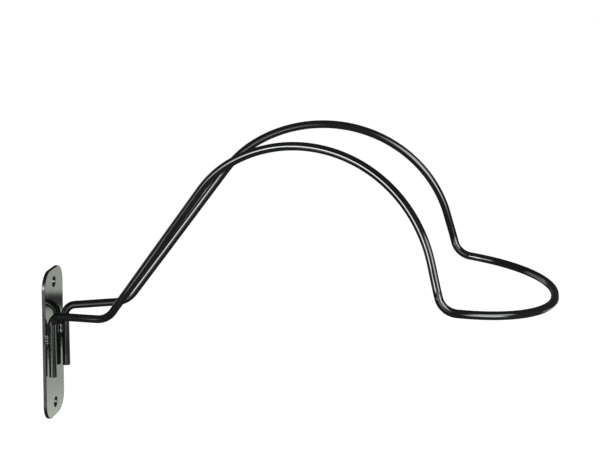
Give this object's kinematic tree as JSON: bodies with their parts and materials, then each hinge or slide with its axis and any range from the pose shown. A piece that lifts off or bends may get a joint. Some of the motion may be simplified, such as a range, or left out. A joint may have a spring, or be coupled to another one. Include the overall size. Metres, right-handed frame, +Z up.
{
  "type": "helmet hanger",
  "caption": "Wall-mounted hanger that carries a riding helmet on a crowned wire loop, with a flat plate for screws.",
  "frame": {"origin": "middle of the wall plate's back face, which lies flat on the wall", "axes": "+X points away from the wall, +Z is up, and +Y is the hanger's left side as seen looking out from the wall"},
  "size_m": [0.3187, 0.152, 0.1928],
  "materials": {
    "plate_paint": "gloss black stove enamel on flat steel",
    "rod_paint": "gloss black stove enamel on drawn steel rod",
    "weld_paint": "gloss black stove enamel over a rippled weld bead"
  },
  "bodies": {
    "root": {"wall_plate": "plate_paint", "hanger_rod": "rod_paint", "left_outer_weld": "weld_paint", "left_inner_weld": "weld_paint", "right_outer_weld": "weld_paint", "right_inner_weld": "weld_paint"}
  },
  "joints": []
}
